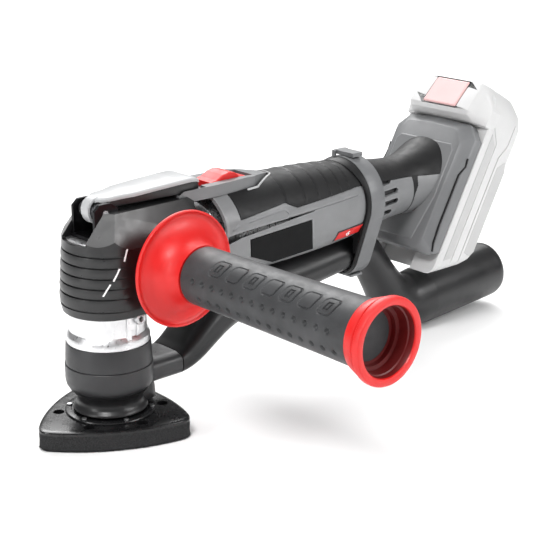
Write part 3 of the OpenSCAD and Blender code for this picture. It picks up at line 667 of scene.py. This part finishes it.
def make_lever():
    stations = [(-8.6, 148.4, 3.6), (-7.6, 148.7, 4.4), (-4.5, 148.9, 7.6), (-2, 149.0, 9.0),
                (6, 149.3, 9.8), (14, 149.8, 12.2), (28, 150.5, 12.7), (46, 151.2, 13.1),
                (57, 151.5, 13.2), (61.6, 150.7, 12.4), (65, 149.2, 10.2)]

    def plate_ring(x, top, w):
        half = [(w, top - 2.6), (w, top - 1.0), (w - 0.5, top - 0.35), (w - 1.5, top)]
        return [(x, y, z) for y, z in half] + [(x, -y, z) for y, z in reversed(half)]
    plate = loft("lever_top", [plate_ring(*station) for station in stations], "lever", sharp=30,
                 bevel=0.3)
    stand_for(plate, "clamp_lever")
    for side in (-1, 1):
        rings = []
        for x, top, w in stations[3:]:
            low = 142.7 + 0.9 * math.exp(-((x - 20) / 9) ** 2)
            y = w - 0.7
            rings.append([(x, side * (y + dy), z) for dy, z in
                          ((0, top - 2.4), (0.15, top - 3.6), (0.15, low + 0.5), (0, low), (-2.2, low),
                           (-2.2, top - 2.4))])
        skirt = loft(side_name("lever_skirt", side), rings, "lever_side", bevel=0.25)
        belong(skirt, "lever")

    nose = prism("lever_nose", [(-5.6, 149.3), (-9.6, 148.5), (-12.4, 146.4), (-13.9, 143.2), (-13.9, 139.6),
                                (-12.6, 136.2), (-10.2, 133.6), (-9.0, 134.6), (-11.2, 137.2), (-12.1, 140.2),
                                (-12.0, 142.9), (-10.9, 145.2), (-8.8, 146.8), (-5.6, 147.4)], -3.6, 3.6, "y",
                 "lever", 0.4)
    belong(nose, "lever")


def make_gearbox_neck():
    profile = [(40, 17.1), (58.5, 17.1), (58.5, 25.1), (59, 25.5), (62.7, 25.5), (63.3, 25.2), (65.4, 24.3),
               (66.1, 23.75), (70, 23.72), (77.8, 23.72), (77.8, 20), (58, 20), (40, 14.4)]
    neck = turned("gearbox_neck_sleeve", profile, about_spindle, "neck", closed=True)
    belong(neck, "housing")
    rib = prism("gearbox_neck_rib", [(-1.6, 22.6), (1.6, 22.6), (1.1, 24.6), (-1.1, 24.6)], 66, 79, "z",
                "neck", 0.3)
    rib.data.transform(Matrix.Rotation(math.radians(-168), 4, "Z"))
    belong(rib, "housing")


# ---- side handle

def grip_relief(y, angle, base):
    """Generic raised bars between engraved outlines, along the top of the grip."""
    across = ((angle - 131 + 180) % 360 - 180) * math.pi / 180 * base
    along = -y - 82 + 0.28 * across
    cell, pitch, count = along / 14.6, 14.6, 7
    index = math.floor(cell)
    if not 0 <= index < count or abs(across) > 6.6:
        return 0.0
    x = along - (index + 0.5) * pitch
    gap = max(abs(x) - 5.1, abs(across) - 5.2, (abs(x) + abs(across) - 8.6) * 0.7)
    inner = max(abs(x) - 1.4, abs(across) - 2.2)
    line = 0.42
    if abs(gap) < line or (abs(inner) < line and index % 2 == 0):
        return -0.45
    return 0.28 if gap < 0 else 0.0


def make_handle():
    flange = smooth_profile([(-60.5, 17.9), (-56.6, 18.4), (-52.2, 19.8), (-48.4, 22.2), (-45.4, 25.4),
                             (-43.6, 28.8), (-43.0, 31.6), (-43.7, 33.5)], 6)
    rim = [(-44.6, 34.1), (-44.9, 34.6), (-44.8, 35.1), (-44.3, 35.4), (-43.2, 35.4), (-42.6, 35.1),
           (-40.9, 32.4), (-39.4, 28.5), (-38.6, 24), (-34.2, 17.4), (-30.8, 14), (-30.6, 12.2),
           (-60.4, 12.2)]
    guard = turned("handle_guard", flange + rim, about_handle, "red", 160, closed=True)
    stand_for(guard, "handle_flange")

    rows, cols = 320, 300
    verts = []
    y0, y1 = -61.0, -195.8
    dimple_rows = [(math.radians(angle), shift) for angle, shift in
                   ((170, 0), (204, 4.2), (350, 0), (24, 4.2), (238, 0), (58, 4.2))]
    for i in range(rows):
        y = y0 + (y1 - y0) * i / (rows - 1)
        t = (y0 - y) / (y0 - y1)
        base = 17.5 + 1.3 * t - 0.35 * math.sin(math.pi * t)
        base -= 0.5 * max(0.0, 1 - (y0 - y) / 1.2) + 0.5 * max(0.0, 1 - (y - y1) / 1.2)
        for k in range(cols):
            a = 2 * math.pi * k / cols
            r = base
            for centre, shift in dimple_rows:
                d = (a - centre + math.pi) % (2 * math.pi) - math.pi
                j = round((-72.2 - shift - y) / 8.46)
                if abs(d) < 0.13 and 0 <= j <= 13:
                    q = math.hypot(d * base, y + 72.2 + shift + 8.46 * j) / 1.8
                    r -= 1.7 * max(0.0, 1 - q ** 3)
            r += grip_relief(y, a * 180 / math.pi, base)
            verts.append(about_handle(y, r * math.cos(a), r * math.sin(a)))
    faces = ring_faces(rows, cols)
    faces.append(tuple(range(cols)))
    faces.append(tuple((rows - 1) * cols + k for k in reversed(range(cols))))
    grip = make_object("handle_grip_sleeve", verts, faces, "grip", sharp=50)
    stand_for(grip, "handle_grip")

    outer = [(-196, 14), (-196, 19.6), (-196.4, 20.5), (-202.6, 22.7), (-203.3, 22.6), (-203.8, 22.1),
             (-204.9, 22.3), (-205.3, 23.4), (-206.0, 24.1), (-208.6, 24.2), (-209.6, 23.8), (-210, 23),
             (-210, 20.6), (-209.6, 19.8), (-208.8, 19.4)]
    inner = [(-205.5, 19.1), (-205, 18.4), (-199.2, 18.1), (-198.8, 15.9), (-193, 15.4), (-192.4, 14.6),
             (-192.2, 12)]
    cap = turned("handle_end_cap", outer + inner, about_handle, ["red", "deep_red"], 160, closed=True)
    # Faces inside the cap's cup take the darker red, a painted shade in the recess.
    for face in cap.data.polygons:
        centre = face.center / MM
        r = math.hypot(centre.x - HANDLE[0], centre.z - HANDLE[1])
        if centre.y > -208.7 and r < 19.25 and centre.y < -191:
            face.material_index = 1
    stand_for(cap, "handle_cap")
    # The cap's floor is in the darker red too, painted shade.
    plug = turned("handle_cap_floor", [(-190.4, 12.4), (-192.6, 12.4), (-192.9, 12), (-193.0, 6),
                                       (-193.6, 5.4), (-193.6, 0.01)], about_handle, "deep_red", 96)
    belong(plug, "handle")


# ---- body, foot and battery

BODY_PROFILE = [(72, 30), (99, 30.3), (126, 30.4), (151, 29.7), (178, 28.2), (202, 25.7), (227, 22.2),
                (242, 20.6), (252, 20.5), (262, 22.2), (272, 25.6), (284, 30)]


def soft_min(a, b, k=1.4):
    h = max(0.0, min(1.0, 0.5 + 0.5 * (b - a) / k))
    return b * (1 - h) + a * h - k * h * (1 - h)


def body_point(x, r, a):
    y, z = r * math.cos(a), r * math.sin(a)
    y = math.copysign(soft_min(abs(y), FLAT_Y), y)
    return (x, y, AXIS_Z + z)


def radius_at(x, table=None):
    table = table or smooth_profile(BODY_PROFILE, 8)
    for (x0, r0), (x1, r1) in zip(table, table[1:]):
        if x0 <= x <= x1:
            return r0 + (r1 - r0) * (x - x0) / (x1 - x0)
    return table[0][1] if x < table[0][0] else table[-1][1]


def body_solid(name, x0, x1, outer, inner, material, bands=False, step=1.5, count=180):
    """A tube following the body: outer and inner are offsets from its skin."""
    table = smooth_profile(BODY_PROFILE, 8)
    xs = [x0 + (x1 - x0) * i / max(2, round((x1 - x0) / step)) for i in
          range(max(2, round((x1 - x0) / step)) + 1)]
    rings_out, rings_in = [], []
    for x in xs:
        ring, hollow = [], []
        for k in range(count):
            a = 2 * math.pi * k / count
            lift = 0.0
            if bands:
                tilted = x + 5.0 * (1 - math.sin(a) ** 2) * (1 if math.sin(a) > 0 else 0)
                lift = band_height(tilted)
            ring.append(body_point(x, radius_at(x, table) + outer + lift, a))
            hollow.append(body_point(x, radius_at(x, table) + inner, a))
        rings_out.append(ring)
        rings_in.append(hollow)
    return loft(name, rings_out + rings_in[::-1], material, loop=True, sharp=40)


def band_height(x):
    """Grip bands across the top of the overmould: each one rises to a small step and falls away."""
    edges = [126, 143, 155, 166, 176, 185, 193]
    for a, b in zip(edges, edges[1:]):
        if a <= x < b:
            t = (x - a) / (b - a)
            return 0.75 * min(1.0, t / 0.12) * (1 - 0.75 * max(0.0, t - 0.12))
    return 0.25


def side_cutter(outline, y0=-OUT, y1=OUT):
    """A cutter right across the tool, from an outline in x and z."""
    return prism("tool", outline, y0, y1, "y", "grey", 0)


def groove(obj, side, outline, inner):
    """Cuts an outline into one flank, down to inner from the middle plane."""
    cut(obj, side_cutter(outline, *sorted((side * inner, side * 40))))


def strip(points, width):
    """Outline of a line of the given width through points in a plane."""
    left, right = [], []
    for i, p in enumerate(points):
        a = points[max(i - 1, 0)]
        b = points[min(i + 1, len(points) - 1)]
        dx, dz = b[0] - a[0], b[1] - a[1]
        size = math.hypot(dx, dz)
        nx, nz = -dz / size * width / 2, dx / size * width / 2
        left.append((p[0] + nx, p[1] + nz))
        right.append((p[0] - nx, p[1] - nz))
    return left + right[::-1]


RUBBER_REGION = [(84, 128.6), (84, 122.6), (122.4, 126.6), (131.4, 122.0), (190, 124.6), (230, 121.6),
                 (262, 119.6), (310, 119.6), (310, 180), (84, 180)]


def behind_foot(n):
    """A cutter for all that lies behind the plane n of the battery foot."""
    return side_cutter([(400, 30), leaning(n, 0, 60)[::2], leaning(n, 0, 330)[::2], (400, 300)])


def make_body():
    shell = body_solid("body_moulding", 72, 283, 0.0, -2.5, "panel")
    window = box("tool", (-12.4, -34.3, -3.93), (12.4, -8.2, 3.87), "dark", 0)
    window.data.transform(dial_frame())
    cut(shell, window)
    taper = dial_frame() @ Matrix.Translation((0, -0.0276, 0)) @ Matrix.Rotation(math.radians(4.6), 4, "Z")
    for name, half_x, half_z, rise, material, slot in (
            ("dial_bezel", 13.2, 4.7, 0.25, "dark", "grey_plastic"),
            ("dial_window", 12.1, 3.8, 0.5, "red", "red_plastic")):
        plate = box(name, (-half_x, -rise, -half_z), (half_x, 1.6, half_z), material, 0.2)
        plate.data.transform(taper)
        belong(plate, "housing")
    cut(shell, side_cutter([(60, 60), (72.2, 60), (72.2, 160), (60, 160)], -50, 50))
    cut(shell, behind_foot(177))
    channel = body_solid("tool", 60, 300, 3, -1.3, "panel", step=3)
    cut(channel, side_cutter([(x, z - 0.4 if z < 128 else z) for x, z in RUBBER_REGION]), "INTERSECT")
    cut(shell, channel)
    for side in (-1, 1):
        label = [(90.9, 108.8), (144.6, 111.5), (145.8, 91.1), (109.5, 89.5), (91.5, 96.8)]
        wedge = [(73, 108.6), (84, 111.0), (147, 116.6), (147, 117.2), (84, 114.8), (73, 113.8)]
        groove(shell, side, label, FLAT_Y - 0.8)
        groove(shell, side, wedge, FLAT_Y - 2.0)
        groove(shell, side, strip([(90, 119.6), (120, 122.4), (124, 119.2)], 0.35), FLAT_Y - 0.5)
        groove(shell, side, strip([(124, 116.6), (190, 119.2)], 0.3), 24)
        groove(shell, side, strip([(72, 92.6), (96, 88.6), (139, 83.6), (146, 86.2), (190, 89.2)], 0.5), 20)
        for k, reach in enumerate((228.5, 233.5, 233.5, 227.5)):
            z = 97.6 + 7.2 * k
            vent = [(214.5, z), (reach - 1.6, z + 0.4), (reach, z + 2.2), (reach - 1.6, z + 4),
                    (214.5, z + 4)]
            groove(shell, side, vent, 8)
    keep_sharp(shell, 30)
    add_bevel(shell, 0.35, 2, 40)
    stand_for(shell, "body_shell_left", "body_shell_right")
    for side in (-1, 1):
        corners = [(75.5, 27.2, 116.6), (83.2, 27.2, 119.0), (85.4, 23.5, 127.2),
                   (76.6, 28.6, 117.0), (82.0, 28.6, 118.8), (84.2, 25.4, 125.6)]
        facet = make_object(side_name("body_facet", side), [(x, side * y, z) for x, y, z in corners],
                            [(0, 1, 2), (3, 5, 4), (0, 3, 4, 1), (1, 4, 5, 2), (2, 5, 3, 0)], "strap",
                            bevel=0.3)
        belong(facet, "housing")
    # A dark sheet behind the vent slots: painted shade inside the vents.
    vent_shade_sheet = body_solid("vent_painted_shade_lining", 206, 246, -2.6, -3.4, "dark", step=4, count=96)
    belong(vent_shade_sheet, "housing")

    cover = body_solid("overmould_skin", 84, 283, 0.3, -1.1, "black_rubber", bands=True, step=0.6, count=240)
    cut(cover, side_cutter(RUBBER_REGION), "INTERSECT")
    cut(cover, behind_foot(176.8))
    cut(cover, prism("tool", [(60, -14.6), (75, -15.6), (108.6, -13.6), (127, -4.4), (127, 4.4),
                              (108.6, 13.6), (75, 15.6), (60, 14.6)], 120, 170, "z", "dark", 0))
    keep_sharp(cover, 30)
    add_bevel(cover, 0.4, 2, 40)
    stand_for(cover, "overmould_left", "overmould_right")


def make_block_rim_highlight():
    """Pale bead that frames the rear of the switch block: a painted highlight along its rim."""
    path = resample([(100, -15.4), (108.8, -15.2), (128.2, -5.4), (128.2, 5.4), (108.8, 15.2),
                     (100, 15.4)], 90, closed=False)
    rings = []
    for i, (x, y) in enumerate(path):
        a, b = path[max(i - 1, 0)], path[min(i + 1, len(path) - 1)]
        dx, dy = b[0] - a[0], b[1] - a[1]
        size = math.hypot(dx, dy)
        ring = []
        for off, rise in ((-0.55, 0.2), (-0.3, 1.15), (0.3, 1.15), (0.55, 0.2)):
            px, py = x - dy / size * off, y + dx / size * off
            r = radius_at(px) + rise
            ring.append((px, py, AXIS_Z + math.sqrt(r * r - py * py)))
        rings.append(ring)
    highlight_bead = loft("switch_block_rim_highlight", rings, "lever")
    belong(highlight_bead, "housing")


def foot_ring(n, inset):
    """Outline of the foot across its thickness, drawn in by inset."""
    w, low, high = 37.0 - inset, 178.0 + inset, 280.2 - inset
    chamfer, corner = 8.5, 9.0
    pts = []
    for k in range(6):
        a = -math.pi / 2 + math.pi / 2 * k / 5
        pts.append((w - corner + corner * math.cos(a), low + corner + corner * math.sin(a)))
    pts += [(w, 230), (w, high - chamfer - 1), (w - chamfer, high)]
    pts.append((0, high + 1.2))
    full = pts + [(-y, u) for y, u in reversed(pts[:-1])]
    lowest = (66.5 + n * math.sin(TILT)) / math.cos(TILT)
    return [leaning(n, y, max(u, lowest)) for y, u in full]


def mirrored(half, n):
    """A closed outline on the foot's plane n, from its left half."""
    return [leaning(n, y, u) for y, u in half + [(-y, u) for y, u in reversed(half)]]


def make_foot():
    rings = [foot_ring(191.4, 0.0), foot_ring(184.2, 0.0), foot_ring(183.4, 0.5), foot_ring(177.6, 5.6),
             foot_ring(176.6, 7.0)]
    slab_piece = loft("foot_moulding", rings, "grey", bevel=0.7)
    belong(slab_piece, "housing")
    face = mirrored([(-23.4, 262), (-26.5, 258.5), (-26.5, 224), (-20.5, 190)], 176.0)
    back = mirrored([(-24.4, 263), (-27.7, 259), (-27.7, 223.6), (-21.5, 189)], 177.2)
    step = loft("foot_step", [back, face], "panel", bevel=0.5)
    belong(step, "housing")
    for side in (-1, 1):
        track = [(183.4, 256), (184.2, 250), (182.0, 243), (182.0, 205), (182.6, 192), (184.0, 186)]
        rings = []
        for n, u in track:
            base_y = 37.0 - max(0.0, (183.4 - n)) * 0.88
            rings.append([leaning(n + dn, side * (base_y + dy), u) for dn, dy in
                          ((-0.6, 0.5), (0.7, 0.35), (0.7, -0.8), (-0.6, -0.8))])
        seam = loft(side_name("foot_accent", side), rings, "black_rubber", bevel=0.2)
        belong(seam, "housing")
    outline_low = [(-20.0, 232.4), (-21.6, 236), (-18.2, 252), (-13.6, 259.6), (0, 261.4), (13.6, 259.6),
                   (18.2, 252), (21.6, 236), (20.0, 232.4), (12.5, 230)]
    count = 72
    target = resample([(y, u) for y, u in outline_low] + [(8, 215), (-8, 215), (-12.5, 230)], count)
    neck_x = 250.0
    rings = []
    for i in range(13):
        t = i / 12
        ring = []
        for k in range(count):
            y1, u1 = target[k]
            end = leaning(176.4, y1, u1)
            a = math.atan2(end[2] - 113, end[1])
            r = 20.6
            start = body_point(neck_x, r, a)
            ease = t * t * (3 - 2 * t)
            out = t ** 1.6
            ring.append((start[0] + (end[0] - start[0]) * t, start[1] + (end[1] - start[1]) * out,
                         start[2] + (end[2] - start[2]) * (0.35 * ease + 0.65 * out)))
        rings.append(ring)
    saddle = loft("foot_saddle", rings, "black_rubber", sharp=45)
    belong(saddle, "housing")


def leaning_prism(name, outline, y0, y1, material, bevel=0.0):
    """An outline of (n, u) points in the foot's own directions, extruded across the tool."""
    flat = [leaning(n, 0, u)[::2] for n, u in outline]
    return prism(name, flat, min(y0, y1), max(y0, y1), "y", material, bevel)


def battery_outline(n, w, top, low_z):
    corner, chamfer = 7.0, 12.0
    low = (low_z + n * math.sin(TILT)) / math.cos(TILT)
    half = [(0, low)]
    for k in range(6):
        a = -math.pi / 2 + math.pi / 2 * k / 5
        half.append((w - corner + corner * math.cos(a), low + corner + corner * math.sin(a)))
    half += [(w, 240), (w, top - 1.42 * chamfer), (w - 0.35 * chamfer, top - 0.62 * chamfer),
             (w - chamfer, top), (0, top)]
    full = half + [(-y, u) for y, u in reversed(half[1:-1])]
    return [leaning(n, y, u) for y, u in full]


def make_battery():
    rings = [battery_outline(191.9, 36.9, 310.6, 52.6), battery_outline(192.7, 37.6, 311.4, 52.0),
             battery_outline(205, 37.8, 312, 51.9), battery_outline(218, 37.8, 312, 51.9),
             battery_outline(225.6, 36.8, 310, 52.6), battery_outline(229.6, 34.2, 306.6, 54.4),
             battery_outline(230.9, 30.6, 302, 58)]
    pack = loft("battery_case", rings, "battery", sharp=24)
    rail = [(150, 100), (196.8, 100), (196.8, 251), (150, 251)]
    cut(pack, leaning_prism("tool", rail, -16.4, 16.4, "battery"))
    for side in (-1, 1):
        inner, outer = side * 37.25, side * 45
        seam = [(213.2, 120), (214.1, 120), (214.1, 268), (219.4, 279), (219.4, 330), (218.6, 330),
                (218.6, 279.2), (213.2, 268.4)]
        recess = [(197.4, 120), (206.6, 120), (206.6, 276), (197.4, 286)]
        cut(pack, leaning_prism("tool", seam, inner, outer, "battery"))
        cut(pack, leaning_prism("tool", recess, inner, outer, "battery"))
    keep_sharp(pack, 24)
    add_bevel(pack, 0.35, 2, 30)
    stand_for(pack, "battery_case_rear")
    for side in (-1, 1):
        # The side rib and the recessed band take the darker battery grey, painted groove shade.
        rib = [(216.4, 196), (224, 196), (226.4, 200), (226.4, 262), (223.4, 268), (216.4, 262)]
        plate = leaning_prism(side_name("battery_rib", side), rib, side * 36.6, side * 38.05,
                              "battery_groove", 0.4)
        belong(plate, "battery")
        band = leaning_prism(side_name("battery_band", side),
                             [(198.6, 184), (205.4, 188), (205.4, 274), (198.6, 281)],
                             side * 36.6, side * 37.6, "battery_groove", 0.3)
        belong(band, "battery")

    def section_at(u, front, w):
        face = min(26.0, w - 4)
        half = [(198, w), (190.4, w), (188.6, w - 0.5), (front + 1.6, face + 2.2), (front + 0.5, face + 0.8),
                (front, face - 1.2)]
        full = half + [(n, -y) for n, y in reversed(half)]
        return [leaning(n, y, u) for n, y in full]
    rings = [section_at(281.8, 183.4, 37.0), section_at(282.6, 180.6, 37.8), section_at(285, 176.8, 37.8),
             section_at(288, 174.9, 37.8),
             section_at(295, 176.7, 37.8), section_at(305, 179.9, 31), section_at(310.4, 181.8, 27.2),
             section_at(311.9, 183.6, 25.6)]
    head = loft("battery_head", rings, "battery", sharp=22)
    face_place = (Matrix.Rotation(TILT, 4, "Y") @ Matrix.Translation((0.178, 0, 0.2995))
                  @ Matrix.Rotation(math.radians(17.7), 4, "Y"))
    pocket = box("tool", (-12, -15.5, -11.5), (8, 15.5, 11.5), "battery", 0)
    pocket.data.transform(face_place)
    cut(head, pocket)
    keep_sharp(head, 22)
    add_bevel(head, 0.5, 2, 25)
    stand_for(head, "battery_case_front")
    button = box("battery_release_pad", (-0.6, -15, -11), (3.4, 15, 11), "pink", 0)
    button.data.transform(face_place)
    add_bevel(button, 1.1, 3, 30)
    stand_for(button, "battery_button")


def resample(points, count, closed=True):
    """Even points along a path, starting at its first point."""
    loop = points + [points[0]] if closed else points
    lengths = [0.0]
    for a, b in zip(loop, loop[1:]):
        lengths.append(lengths[-1] + math.hypot(b[0] - a[0], b[1] - a[1]))
    out = []
    i = 0
    for k in range(count):
        s = lengths[-1] * k / (count if closed else count - 1)
        while i < len(loop) - 2 and lengths[i + 1] < s:
            i += 1
        t = (s - lengths[i]) / (lengths[i + 1] - lengths[i])
        out.append((loop[i][0] + (loop[i + 1][0] - loop[i][0]) * t,
                    loop[i][1] + (loop[i + 1][1] - loop[i][1]) * t))
    return out


def make_strap_trim():
    """Black rubber lip along the front of the strap, tangent around the body and the duct."""
    def strap_ring(x, grow):
        r_top, r_low, drop = 27.4 + grow, 15.6 + grow, 36.4
        tilt = math.asin((r_top - r_low) / drop)
        ring = []
        for k in range(73):
            a = -tilt + (math.pi + 2 * tilt) * k / 72
            ring.append((x, r_top * math.cos(a), AXIS_Z + r_top * math.sin(a)))
        for k in range(49):
            a = math.pi + tilt + (math.pi - 2 * tilt) * k / 48
            ring.append((x, r_low * math.cos(a), AXIS_Z - drop + r_low * math.sin(a)))
        return ring
    def swept(x, grow):
        """The lip reaches further forward over the top of the body than down its sides."""
        return [(x - (198.5 - x) * 2.2 * max(0.0, (z - 118) / 21) ** 1.5, y, z)
                for x, y, z in strap_ring(x, grow)]
    rings = [swept(196.0, 0.1), swept(195.8, 0.7), swept(196.2, 1.2), strap_ring(198.5, 1.7),
             strap_ring(198.5, 0.1)]
    lip = loft("strap_front_lip", rings, "black_rubber", loop=True, sharp=50)
    belong(lip, "housing")


def make_dial_number():
    curve = bpy.data.curves.new("dial_number", "FONT")
    curve.body = "6"
    curve.size = 0.0062
    curve.extrude = 0.00008
    curve.align_x = "CENTER"
    curve.align_y = "CENTER"
    source = bpy.data.objects.new("dial_number_source", curve)
    bpy.context.collection.objects.link(source)
    bpy.context.view_layer.update()
    graph = bpy.context.evaluated_depsgraph_get()
    mesh = bpy.data.meshes.new_from_object(source.evaluated_get(graph))
    bpy.data.objects.remove(source)
    digit = bpy.data.objects.new("dial_number", mesh)
    mesh.materials.clear()
    mesh.materials.append(MATS["white"])
    turn = Matrix.Rotation(math.radians(90), 4, "X")
    digit.data.transform(dial_frame() @ Matrix.Translation((0, -0.016, 0))
                         @ Matrix.Rotation(math.radians(-6), 4, "Z")
                         @ Matrix.Translation((0, -0.01268, 0)) @ turn)
    bpy.context.collection.objects.link(digit)
    belong(digit, "dial")


# ---- CAD nodes that stay

BEVELS = {"strap_band": 0.5, "switch_block": 0.7, "switch_slider": 0.8, "cam_bracket": 0.3,
          "label_plates": 0.3, "strap_buckle": 0.5}


# The cam bracket takes near-black steel: painted shade of the lever slot it sits in.
NODE_MATERIAL = {"cam_bracket": "slot_shade_steel"}


def dress_cad_nodes():
    for name, obj in frame["nodes"].items():
        key = NODE_MATERIAL.get(name) or SLOT_MATERIAL[NODE_SLOT[name]]
        if not obj.material_slots:
            obj.data.materials.append(MATS[key])
        for slot in obj.material_slots:
            slot.link = "OBJECT"
            slot.material = MATS[key]
        weld = obj.modifiers.new("weld", "WELD")
        weld.merge_threshold = 0.00001
        add_bevel(obj, BEVELS.get(name, 0.2), 2, 30)


set_stage()
dress_cad_nodes()
make_pad()
make_collar()
make_duct()
make_gearbox_neck()
make_head()
make_handle()
make_body()
make_block_rim_highlight()
make_foot()
make_dial_number()
make_battery()
make_strap_trim()
make_lever()
